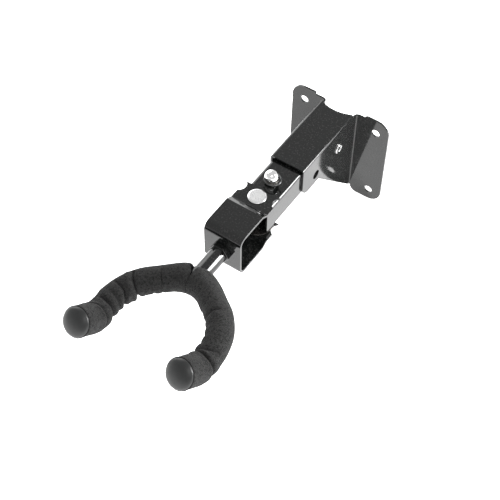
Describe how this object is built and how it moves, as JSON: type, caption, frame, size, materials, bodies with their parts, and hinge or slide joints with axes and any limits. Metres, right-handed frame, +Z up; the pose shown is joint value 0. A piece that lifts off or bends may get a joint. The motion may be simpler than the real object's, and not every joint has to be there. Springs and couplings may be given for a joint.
{
  "type": "swing-arm wall hanger",
  "caption": "Wall hanger: a flanged sleeve bracket holds a tube arm, a notched clevis swings and locks on it, and a foam-padded U yoke turns on a shaft.",
  "frame": {"origin": "centre of the four screw holes, on the wall face of the ears", "axes": "+Z up, +Y into the wall, the arm reaches along -Y, +X to the right seen from the front of the arm looking at the wall"},
  "size_m": [0.1291, 0.3195, 0.1175],
  "materials": {
    "bracket_paint": "gloss black paint on pressed sheet steel",
    "tube_paint": "gloss black paint on steel tube",
    "shaft_paint": "high gloss black paint on round bar",
    "zinc": "bright zinc plate",
    "knob_chrome": "polished chrome",
    "dark_steel": "black oxide steel",
    "ring_wire": "bright spring wire",
    "foam": "matte closed-cell foam sleeve",
    "cap_rubber": "satin moulded rubber"
  },
  "bodies": {
    "bracket": {"wall_bracket": "bracket_paint", "arm_tube": "tube_paint", "sleeve_rivet": "dark_steel", "pivot_bushing": "dark_steel", "thrust_washer_top": "zinc", "thrust_washer_bottom": "zinc"},
    "swing_clevis": {"clevis": "bracket_paint", "pivot_rivet": "zinc", "rivet_washer": "zinc"},
    "lock": {"lock_knob": "knob_chrome", "lock_collar": "dark_steel", "lock_pin": "dark_steel", "pin_washer": "zinc", "cotter_pin": "ring_wire"},
    "pull_ring": {"pull_ring": "ring_wire"},
    "yoke": {"yoke_shaft": "shaft_paint", "shaft_nut": "shaft_paint", "shaft_washer": "zinc", "shaft_lock_nut": "zinc", "yoke_rod": "shaft_paint", "yoke_weld": "shaft_paint", "foam_left": "foam", "foam_right": "foam", "end_cap_left": "cap_rubber", "end_cap_right": "cap_rubber"}
  },
  "joints": [
    {"name": "arm_swing", "type": "hinge", "parent": "bracket", "child": "swing_clevis", "pos_m": [0, -0.1352, 0.038], "axis": [0, 0, 1], "range_deg": [-80, 80]},
    {"name": "lock_drop", "type": "slide", "parent": "bracket", "child": "lock", "axis": [0, 0, 1], "range_m": [-0.004, 0]},
    {"name": "ring_lift", "type": "hinge", "parent": "lock", "child": "pull_ring", "pos_m": [0, -0.1138, 0.0614], "axis": [-0.5446, -0.8387, 0], "range_deg": [0, 150]},
    {"name": "yoke_turn", "type": "hinge", "parent": "swing_clevis", "child": "yoke", "pos_m": [0, -0.1862, 0.038], "axis": [0, 1, 0], "continuous": true}
  ]
}
